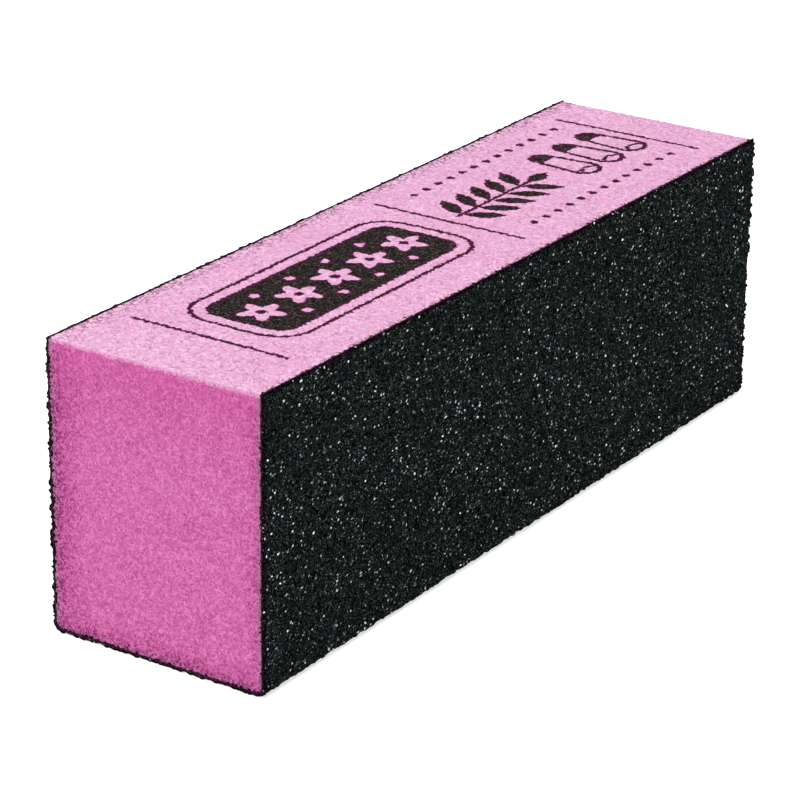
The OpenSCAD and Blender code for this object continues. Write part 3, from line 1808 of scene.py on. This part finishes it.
@dataclass(frozen=True)
class Resin:
    """The black resin between the foam and the grit, seen edge on.

    Args:
        dark: colour of the resin.
        warm: colour where foam shows through it.
        patch: size of those places.
        relief: how far its surface comes and goes.
    """

    dark: Colour = (0.020, 0.006, 0.014)
    warm: Colour = (0.10, 0.016, 0.06)
    patch: float = 0.45 * MM
    relief: float = 0.08 * MM

    def material(self) -> Material:
        """Draws up the material.

        Returns:
            The material.
        """
        sheet = FinishSheet("bond_resin")
        patches = sheet.noise(self.patch, 2.0)
        colour = sheet.mix(sheet.step(patches, 0.55, 0.62), self.dark, self.warm)
        return sheet.surface(colour, 0.7, sheet.bump(patches, self.relief), gloss=0.05)


# ---------------------------------------------------------------- the layers of the block


@dataclass(frozen=True)
class Role:
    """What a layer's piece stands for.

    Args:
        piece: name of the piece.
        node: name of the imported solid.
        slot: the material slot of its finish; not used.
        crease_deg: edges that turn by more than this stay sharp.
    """

    piece: str
    node: str
    slot: Slot
    crease_deg: float = 40.0


class Layer(ABC):
    """A layer of the block, which becomes one piece."""

    @property
    @abstractmethod
    def role(self) -> Role:
        """What the piece stands for."""

    @abstractmethod
    def build(self) -> BMesh:
        """Models the layer's closed mesh."""

    @cached_property
    def box(self) -> Span:
        """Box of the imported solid."""
        return Span.of(self.role.node)

    def to_end(self, y: float) -> float:
        """Distance of a place along the block from the nearer cut end."""
        return self.box.size.y / 2 - abs(y - self.box.centre.y)

    def dress(self, finish: Material) -> Object:
        """Builds the piece, gives it its finish and puts it in the frame.

        Args:
            finish: its finish.

        Returns:
            The piece.
        """
        role = self.role
        piece = finished_piece(role.piece, self.build(), finish, role.crease_deg)
        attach(piece, BODY)
        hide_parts(role.node)
        return piece


@dataclass
class FoamBar(Layer):
    """The bar of foam, whose two cut ends show.

    Args:
        wrap: the outline of its lower corners.
        pitch: spacing of the mesh on the cut ends.
        cut: the cut cells.
    """

    wrap: Wrap
    pitch: float = 0.17 * MM
    cut: CutRelief = CutRelief()

    @property
    def role(self) -> Role:
        """What the piece stands for."""
        return Role("foam_bar", "foam_core", Slot.FOAM, 50.0)

    def build(self) -> BMesh:
        """Models the bar from one cut end, drawn out to the other.

        Returns:
            The closed mesh.
        """
        box, half = self.box, self.box.size / 2
        bm = bmesh.new()
        centre = Vector((box.centre.x, box.low.y, box.centre.z))
        cells = (round(box.size.x / self.pitch), round(box.size.z / self.pitch))
        near = sheet_grid(bm, centre, Vector((half.x, 0, 0)), Vector((0, 0, half.z)), cells)
        for vert in near:
            vert.co = self.wrap.rounded(vert.co)
        grown = bmesh.ops.extrude_face_region(bm, geom=bm.faces[:])["geom"]
        far = [item for item in grown if isinstance(item, BMVert)]
        bmesh.ops.translate(bm, verts=far, vec=(0, box.size.y, 0))
        for verts, inwards in ((near, 1), (far, -1)):
            for vert in verts:
                vert.co.y += inwards * self.cut.end_at(vert.co, box.high.z)
        bmesh.ops.recalc_face_normals(bm, faces=bm.faces)
        return bm

    def dress(self, finish: Material) -> Object:
        """Builds the bar, gives it its finish and puts it in the frame.

        Args:
            finish: its finish.

        Returns:
            The piece.
        """
        piece = super().dress(finish)
        return piece


@dataclass
class TopSkin(Layer):
    """The skin of the foam, with its print.

    Args:
        pitch: spacing of the mesh.
        relief: the pebbles.
        cut: the cut that its ends share with the foam's.
        cut_reach: how far from the end the face is drawn along with the cut.
        brow: how far the skin rounds down at its ends.
        brow_reach: how far in from its edges the rounding begins.
        side_brow: how far it rounds down at its long sides, as a share of that at its ends.
    """

    pitch: float = 0.175 * MM
    relief: PebbleRelief = PebbleRelief()
    cut: CutRelief = CutRelief()
    cut_reach: float = 1.4 * MM
    brow: float = 0.128 * MM
    brow_reach: float = 0.32 * MM
    side_brow: float = 0.5

    @property
    def role(self) -> Role:
        """What the piece stands for."""
        return Role("printed_skin", "top_skin", Slot.SKIN, 50.0)

    def build(self) -> BMesh:
        """Models the skin.

        Returns:
            The closed mesh.
        """
        box, half = self.box, self.box.size / 2
        bm = mapped_mesh()
        centre = Vector((box.centre.x, box.centre.y, box.high.z))
        cells = (round(box.size.y / self.pitch), round(box.size.x / self.pitch))
        for vert in sheet_grid(bm, centre, Vector((0, half.y, 0)), Vector((-half.x, 0, 0)), cells):
            self.work(vert)
        back_with(bm, self.to_foam)
        Strips().lay_out(bm)
        return bm

    def to_foam(self, vert: BMVert) -> None:
        """Draws a rim vertex down to the foam."""
        vert.co.z = self.box.low.z

    def work(self, vert: BMVert) -> None:
        """Sinks one vertex of the face into its relief and rounds the edges down.

        Args:
            vert: the vertex.
        """
        box, point = self.box, vert.co.copy()
        to_end = self.to_end(point.y)
        to_side = box.size.x / 2 - abs(point.x - box.centre.x)
        rounding = max(0.0, 1 - to_end / self.brow_reach) ** 2
        rounding += self.side_brow * max(0.0, 1 - to_side / self.brow_reach) ** 2
        vert.co.z -= self.relief.at(point) + self.brow * min(1.0, rounding)
        if to_end < self.cut_reach:
            end = Vector((point.x, math.copysign(box.high.y, point.y), box.low.z))
            drawn = self.cut.end_at(end, box.low.z) * (1 - to_end / self.cut_reach)
            vert.co.y -= math.copysign(drawn, point.y)


@dataclass(kw_only=True)
class GritCoat(Layer):
    """A coat of grit: a sheet worked into grains, whose rim is drawn in to the resin.

    Args:
        rows: number of mesh rows along the block, the same for the whole wrap.
        relief: the grains.
    """

    rows: int
    relief: GrainRelief = GrainRelief()

    @abstractmethod
    def lay(self, bm: BMesh) -> list[BMVert]:
        """Lays the flat sheet in a mesh and gives its vertices."""

    @abstractmethod
    def work(self, vert: BMVert) -> float:
        """Works one vertex into the coat's shape and gives its depth below the highest grains."""

    @abstractmethod
    def to_resin(self, vert: BMVert) -> None:
        """Draws a rim vertex in to the resin."""

    def build(self) -> BMesh:
        """Models the coat.

        Returns:
            The closed mesh.
        """
        bm = mapped_mesh()
        depth = bm.verts.layers.float.new(DEPTH)
        for vert in self.lay(bm):
            vert[depth] = self.work(vert) / self.relief.most
        back_with(bm, self.to_resin)
        Strips().lay_out(bm)
        return bm


@dataclass(kw_only=True)
class GritWall(GritCoat):
    """The coat of grit on one upright side.

    Args:
        rows: number of mesh rows along the block, the same for the whole wrap.
        relief: the grains.
        side: which side.
        deepest: how deep the outer face may sink, as a share of the coat's thickness.
        brow: how far the top edge rounds in.
        brow_reach: how far down the rounding begins.
        nick: how far the cut ends fall short of straight.
        top_nick: how far the top edge falls short of straight.
        tooth: depth of the gaps that broken grains leave in the outer face at its edges.
        tooth_length: distance over which a gap opens.
        tooth_reach: how far the gaps run in from the edges.
        tooth_sharpness: how steeply they go in and out.
        corner: radius of the worn top corners.
        crumbled: how far the top edge has crumbled away where it is broken.
        crumb_length: distance over which a broken place opens.
        crumb_reach: how far down the face is drawn along with it.
        crumb_from: height of the unevenness from which the edge is broken.
        crumb_sharpness: how steeply a broken place goes in and out.
    """

    side: Side
    deepest: float = 0.85
    brow: float = 0.12 * MM
    brow_reach: float = 0.32 * MM
    nick: float = 0.16 * MM
    top_nick: float = 0.128 * MM
    tooth: float = 0.38 * MM
    tooth_length: float = 0.30 * MM
    tooth_reach: float = 0.5 * MM
    tooth_sharpness: float = 1.5
    corner: float = 0.7 * MM
    crumbled: float = 0.0
    crumb_length: float = 1.1 * MM
    crumb_reach: float = 1.5 * MM
    crumb_from: float = 0.08
    crumb_sharpness: float = 5.0

    @property
    def role(self) -> Role:
        """What the piece stands for."""
        node = self.side.node("grit")
        return Role(f"{node}_coat", node, Slot.GRIT)

    def lay(self, bm: BMesh) -> list[BMVert]:
        """Lays the flat sheet on the coat's outer face.

        Args:
            bm: the mesh.

        Returns:
            The sheet's vertices.
        """
        box, half = self.box, self.box.size / 2
        outer = box.high.x if self.side is Side.RIGHT else box.low.x
        centre = Vector((outer, box.centre.y, box.centre.z))
        along = Vector((0, self.side.value * half.y, 0))
        columns = round(box.size.z * self.rows / box.size.y)
        return sheet_grid(bm, centre, along, Vector((0, 0, half.z)), (self.rows, columns))

    def to_resin(self, vert: BMVert) -> None:
        """Draws a rim vertex in to the resin."""
        vert.co.x = self.box.low.x if self.side is Side.RIGHT else self.box.high.x

    def work(self, vert: BMVert) -> float:
        """Sinks one vertex into the relief, rounds the brow and nicks the cut edges.

        Args:
            vert: the vertex.

        Returns:
            How deep the vertex now lies below the coat's highest level.
        """
        box, point = self.box, vert.co.copy()
        to_top, to_end = box.high.z - point.z, self.to_end(point.y)
        at_end = Vector((point.x, math.copysign(box.high.y, point.y), point.z))
        at_top = Vector((point.x, point.y, box.high.z))
        whole = min(1.0, min(to_end, to_top) / self.tooth_reach)
        sunk = self.relief.at(point) * whole
        sunk += max(self.gap(at_end, to_end), self.gap(at_top, to_top))
        sunk += self.brow * max(0.0, 1 - to_top / self.brow_reach) ** 2
        sunk = min(sunk, self.deepest * box.size.x)
        vert.co.x -= self.side.value * sunk
        down, inwards = corner_pull(to_top, to_end, self.corner)
        if to_end < ON_EDGE:
            inwards += ragged(point, self.nick)
        if to_top < ON_EDGE:
            down += ragged(point, self.top_nick)
        down += self.crumb(at_top) * max(0.0, 1 - to_top / self.crumb_reach)
        vert.co.y -= math.copysign(inwards, point.y)
        vert.co.z -= down
        return sunk

    def crumb(self, at_top: Vector) -> float:
        """How far the top edge has crumbled away at a point of it."""
        broken = (noise.noise(at_top / self.crumb_length) - self.crumb_from) * self.crumb_sharpness
        return self.crumbled * min(1.0, max(0.0, broken))

    def gap(self, at_edge: Vector, to_edge: float) -> float:
        """How deep a gap between broken grains is.

        Args:
            at_edge: the nearest point of the edge.
            to_edge: distance from it.

        Returns:
            Depth below the coat's highest level.
        """
        broken = max(0.0, 1 - to_edge / self.tooth_reach)
        return ragged(at_edge, self.tooth, self.tooth_length, self.tooth_sharpness) * broken


@dataclass(kw_only=True)
class GritShoe(GritCoat):
    """The coat of grit that the block stands on, turned up round both lower corners.

    Args:
        rows: number of mesh rows along the block, the same for the whole wrap.
        relief: the grains.
        wrap: the outline of the corners.
        pitch: spacing of the mesh across the block.
        deepest: how deep the outer face may sink, as a share of the coat's thickness.
        nick: how far the cut ends fall short of straight.
    """

    wrap: Wrap
    pitch: float = 0.22 * MM
    deepest: float = 0.95
    nick: float = 0.13 * MM

    @property
    def role(self) -> Role:
        """What the piece stands for."""
        return Role("bottom_grit_coat", "bottom_grit", Slot.GRIT)

    @cached_property
    def radius(self) -> float:
        """Radius of the coat's outer face at the corners."""
        return self.box.high.z - self.box.low.z

    @cached_property
    def thickness(self) -> float:
        """Thickness of the coat, up to the resin."""
        return Span.of("bottom_bond_coat").low.z - self.box.low.z

    def lay(self, bm: BMesh) -> list[BMVert]:
        """Lays the flat sheet, which is turned up afterwards.

        Args:
            bm: the mesh.

        Returns:
            The sheet's vertices.
        """
        half_run = self.wrap.half_run(self.radius)
        along, up = Vector((0, self.box.size.y / 2, 0)), Vector((half_run, 0, 0))
        cells = (self.rows, round(2 * half_run / self.pitch))
        return sheet_grid(bm, Vector((0, self.box.centre.y, 0)), along, up, cells)

    def to_resin(self, vert: BMVert) -> None:
        """Draws a rim vertex in to the resin, square to the sheet."""
        vert.co = self.wrap.drawn_in(vert.co, self.radius - self.thickness)

    def work(self, vert: BMVert) -> float:
        """Turns one vertex up round the corners, sinks it and nicks the cut ends.

        Args:
            vert: the vertex of the flat sheet.

        Returns:
            How deep the grains lie there below the coat's highest level.
        """
        flat = vert.co.copy()
        point, out = self.wrap.turned_up(flat, self.radius)
        depth = self.relief.at(point)
        vert.co = point - out * min(depth, self.deepest * self.thickness)
        if self.to_end(flat.y) < ON_EDGE:
            vert.co.y -= math.copysign(ragged(point, self.nick), flat.y)
        return depth


@dataclass
class BondWall(Layer):
    """The resin behind the grit on one upright side, seen as a dark line at its edges.

    Args:
        side: which side.
        pitch: spacing of the mesh.
        nick: how far its edges fall short of straight.
    """

    side: Side
    pitch: float = 0.6 * MM
    nick: float = 0.08 * MM

    @property
    def role(self) -> Role:
        """What the piece stands for."""
        node = self.side.node("bond_coat")
        return Role(f"{node}_layer", node, Slot.BOND)

    def build(self) -> BMesh:
        """Models the resin.

        Returns:
            The closed mesh.
        """
        box, half = self.box, self.box.size / 2
        bm = bmesh.new()
        centre = Vector((box.high.x, box.centre.y, box.centre.z))
        cells = (round(box.size.y / self.pitch), round(box.size.z / self.pitch))
        for vert in sheet_grid(bm, centre, Vector((0, half.y, 0)), Vector((0, 0, half.z)), cells):
            point = vert.co.copy()
            if self.to_end(point.y) < ON_EDGE:
                vert.co.y -= math.copysign(ragged(point, self.nick), point.y)
            if box.high.z - point.z < ON_EDGE:
                vert.co.z -= ragged(point, self.nick)
        bmesh.ops.solidify(bm, geom=bm.faces[:], thickness=box.size.x)
        bmesh.ops.recalc_face_normals(bm, faces=bm.faces)
        return bm


@dataclass
class BondShoe(Layer):
    """The resin under the foam, turned up round both lower corners.

    Args:
        wrap: the outline of the corners.
        pitch: spacing of the mesh.
        nick: how far its cut ends fall short of straight.
    """

    wrap: Wrap
    pitch: float = 0.5 * MM
    nick: float = 0.08 * MM

    @property
    def role(self) -> Role:
        """What the piece stands for."""
        return Role("bottom_bond_coat_layer", "bottom_bond_coat", Slot.BOND)

    def build(self) -> BMesh:
        """Models the resin as a flat sheet that is turned up, with walls that end level.

        Returns:
            The closed mesh.
        """
        box = self.box
        radius = box.high.z - box.low.z
        thickness = Span.of("foam_core").low.z - box.low.z
        half_run = self.wrap.half_run(radius)
        bm = bmesh.new()
        along, up = Vector((half_run, 0, 0)), Vector((0, box.size.y / 2, 0))
        cells = (round(2 * half_run / self.pitch), round(box.size.y / self.pitch))
        for vert in sheet_grid(bm, Vector((0, box.centre.y, 0)), along, up, cells):
            y = vert.co.y
            point, _ = self.wrap.turned_up(vert.co, radius)
            if self.to_end(y) < ON_EDGE:
                point.y -= math.copysign(ragged(point, self.nick), y)
            vert.co = point
        bmesh.ops.recalc_face_normals(bm, faces=bm.faces)
        bmesh.ops.solidify(bm, geom=bm.faces[:], thickness=thickness)
        for vert in bm.verts:
            vert.co.z = min(vert.co.z, self.wrap.corner_z)
        bmesh.ops.recalc_face_normals(bm, faces=bm.faces)
        return bm


# ---------------------------------------------------------------- studio


@dataclass(frozen=True)
class Viewpoint:
    """Where the camera stands.

    Args:
        azimuth: turn round the block in degrees, 0 looking along its length.
        elevation: height above the horizon in degrees.
        roll: tilt of the picture in degrees.
        distance: from the point that it looks at.
        lens: focal length in millimetres.
        picture: width of its picture in millimetres.
        aim: the point that it looks at, from the block's middle.
    """

    azimuth: float = 33.52
    elevation: float = 22.23
    roll: float = 0.75
    distance: float = 348.1 * MM
    lens: float = 147.6
    picture: float = 36.0
    aim: Vector = field(default_factory=lambda: Vector((-1.81, -2.74, -3.24)) * MM)

    def stand(self, middle: Vector) -> None:
        """Sets the camera up.

        Args:
            middle: middle of the block.
        """
        turn, rise = math.radians(self.azimuth), math.radians(self.elevation)
        level = math.cos(rise)
        back = Vector((math.sin(turn) * level, -math.cos(turn) * level, math.sin(rise)))
        right = Vector((math.cos(turn), math.sin(turn), 0))
        right.rotate(Matrix.Rotation(math.radians(-self.roll), 3, -back))
        optics = bpy.data.cameras.new("camera")
        optics.lens, optics.sensor_width = self.lens, self.picture
        optics.clip_start, optics.clip_end = 0.01, 20.0
        camera = bpy.data.objects.new("camera", optics)
        axes = Matrix((right, back.cross(right), back)).transposed()
        place = Matrix.Translation(middle + self.aim + back * self.distance)
        camera.matrix_world = place @ axes.to_4x4()
        bpy.context.scene.collection.objects.link(camera)
        bpy.context.scene.camera = camera


@dataclass(frozen=True)
class Softbox:
    """A square soft lamp that faces the block.

    Args:
        name: its name.
        place: where it hangs.
        size: edge length.
        power: watts.
    """

    name: str
    place: tuple[float, float, float]
    size: float
    power: float

    def hang(self, target: Vector) -> None:
        """Hangs the lamp.

        Args:
            target: the point that it faces.
        """
        light = bpy.data.lights.new(self.name, "AREA")
        light.shape, light.size, light.energy = "SQUARE", self.size, self.power
        lamp = bpy.data.objects.new(self.name, light)
        lamp.location = self.place
        lamp.rotation_mode = "QUATERNION"
        lamp.rotation_quaternion = (target - lamp.location).to_track_quat("-Z", "Y")
        bpy.context.scene.collection.objects.link(lamp)


@dataclass(frozen=True)
class Studio:
    """A white sweep with soft light from all round.

    Args:
        white: colour that the camera sees behind the block.
        ambient: strength of the light from all round.
        floor_size: edge length of the floor.
        floor_drop: how far it lies below the block.
        floor_colour: what it gives back of the light.
        floor_glow: how much the camera sees it shine by itself.
        paper: distance between the hills of its surface.
        lamps: the softboxes.
        viewpoint: the camera.
    """

    white: Colour = (1.0, 1.0, 1.0)
    ambient: float = 0.54
    floor_size: float = 6.0
    floor_drop: float = 0.01 * MM
    floor_colour: Colour = (0.80, 0.80, 0.80)
    floor_glow: float = 0.60
    paper: float = 0.8 * MM
    lamps: tuple[Softbox, ...] = (
        Softbox("overhead", (0.15, -0.12, 0.85), 0.5, 2.45),
        Softbox("front", (-0.60, -0.62, 0.45), 0.35, 3.8),
    )
    viewpoint: Viewpoint = field(default_factory=Viewpoint)

    def build(self) -> None:
        """Sets up the surroundings, the floor, the lamps and the camera."""
        bpy.context.scene.view_settings.view_transform = "Standard"
        block = Span(*CAD_BOX)
        self.surroundings()
        self.floor(block)
        for lamp in self.lamps:
            lamp.hang(block.centre)
        self.viewpoint.stand(block.centre)

    def surroundings(self) -> None:
        """Lights the scene from all round and shows white behind it."""
        world = bpy.data.worlds.new("surroundings")
        bpy.context.scene.world = world
        world.use_nodes = True
        sheet = NodeSheet(world.node_tree)
        strength = sheet.add("ShaderNodeMapRange")
        sheet.feed(strength.inputs["Value"], sheet.seen())
        sheet.feed(strength.inputs["To Min"], self.ambient)
        sheet.feed(strength.inputs["To Max"], 1.0)
        background = sheet.add("ShaderNodeBackground")
        sheet.feed(background.inputs["Color"], self.white)
        sheet.feed(background.inputs["Strength"], strength.outputs[0])
        output = sheet.add("ShaderNodeOutputWorld")
        sheet.feed(output.inputs["Surface"], background.outputs[0])

    def floor(self, block: Span) -> None:
        """Lays a matt floor just under the block.

        Args:
            block: the block's box.
        """
        sheet = FinishSheet("white_floor")
        seen = sheet.seen()
        colour = sheet.mix(seen, self.floor_colour, self.white)
        paper = sheet.bump(sheet.noise(self.paper), 0.01 * MM)
        glow = sheet.times(seen, self.floor_glow)
        material = sheet.surface(colour, 0.9, paper, gloss=0.0, glow=glow)
        bm = bmesh.new()
        place = Matrix.Translation((0, 0, block.low.z - self.floor_drop))
        half = self.floor_size / 2
        bmesh.ops.create_grid(bm, x_segments=1, y_segments=1, size=half, matrix=place)
        floor = finished_piece("floor", bm, material, 30.0)


# ---------------------------------------------------------------- the block


@dataclass
class BufferBlock:
    """The whole block, layer by layer.

    Args:
        rows: number of mesh rows along the wrap of grit.
        crumbled: how far the left coat's top edge has crumbled away where it is broken.
    """

    rows: int = 500
    crumbled: float = 0.34 * MM

    def build(self) -> list[Object]:
        """Builds every layer from the inside out.

        Returns:
            The pieces.
        """
        wrap = Wrap.from_solids()
        resin, grit = Resin().material(), Grit().material()
        pieces = [FoamBar(wrap).dress(CutFoam().material())]
        pieces += [TopSkin().dress(PrintedSkin().material())]
        bonds = (BondWall(Side.LEFT), BondWall(Side.RIGHT), BondShoe(wrap))
        pieces += [bond.dress(resin) for bond in bonds]
        coats = (
            GritWall(side=Side.LEFT, rows=self.rows, crumbled=self.crumbled),
            GritWall(side=Side.RIGHT, rows=self.rows),
            GritShoe(wrap=wrap, rows=self.rows),
        )
        pieces += [coat.dress(grit) for coat in coats]
        return pieces


def main() -> None:
    """Builds the block and the studio round it, and reports each piece."""
    logging.basicConfig(level=logging.INFO, format="%(name)s: %(message)s")
    noise.seed_set(NOISE_SEED)
    for piece in BufferBlock().build():
        log.info("%s: %d faces", piece.name, len(piece.data.polygons))
    Studio().build()


if __name__ == "__main__":
    main()
